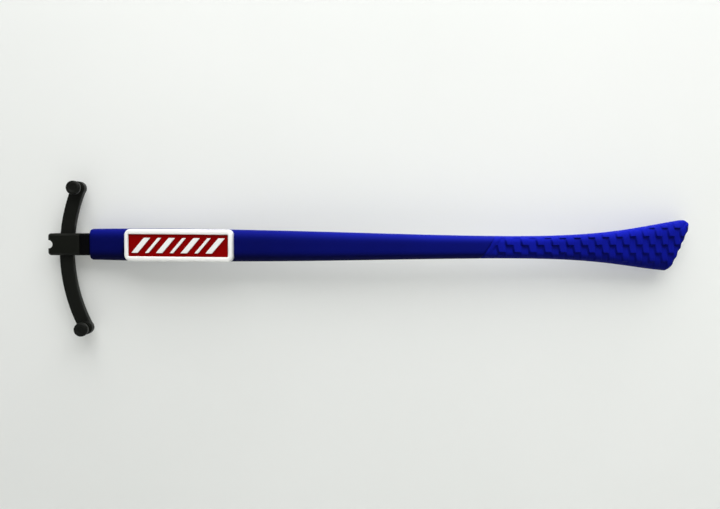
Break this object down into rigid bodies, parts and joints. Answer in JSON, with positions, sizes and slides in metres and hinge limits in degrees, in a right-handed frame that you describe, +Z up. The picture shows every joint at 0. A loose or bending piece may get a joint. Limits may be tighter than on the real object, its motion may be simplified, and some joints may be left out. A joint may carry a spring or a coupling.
{
  "type": "eyewear temple arm",
  "caption": "Folding left side arm of interchangeable-lens glasses: sleeved arm with textured ear grip and badge, hinged to a notched block with a curved two-post lens claw.",
  "frame": {"origin": "on the axis of the half-round lens notch in the hinge block, at the block's inner side", "axes": "+X back along the arm to the ear tip, +Y inward to the head (the outer side faces -Y), +Z up as worn"},
  "size_m": [0.13, 0.0088, 0.0312],
  "materials": {
    "black_nylon": "satin moulded nylon",
    "black_claw": "satin black coating",
    "blue_sleeve": "satin deep blue",
    "blue_grip": "soft moulded rubber",
    "white_frame": "gloss white",
    "red_panel": "gloss deep red",
    "adhesive": "foam tape",
    "steel": "bright",
    "brass": "turned",
    "white_nylon": "plain"
  },
  "bodies": {
    "temple": {"temple_core": "black_nylon", "core_wire": "steel", "temple_sleeve": "blue_sleeve", "ear_grip": "blue_grip", "badge_frame": "white_frame", "badge_inlay": "red_panel", "badge_emblem": "white_frame", "badge_tape": "adhesive", "hinge_bush": "brass", "upper_hinge_washer": "white_nylon", "lower_hinge_washer": "white_nylon"},
    "lens_claw": {"hinge_block": "black_nylon", "claw_bar": "black_claw", "claw_screws": "steel", "upper_lens_post": "black_claw", "lower_lens_post": "black_claw", "upper_post_collar": "black_nylon", "lower_post_collar": "black_nylon", "hinge_screw": "steel", "hinge_insert": "brass"}
  },
  "joints": [
    {"name": "claw_fold", "type": "hinge", "parent": "temple", "child": "lens_claw", "pos_m": [0.0062, 0, 0], "axis": [0, 0, -1], "range_deg": [0, 95]}
  ]
}
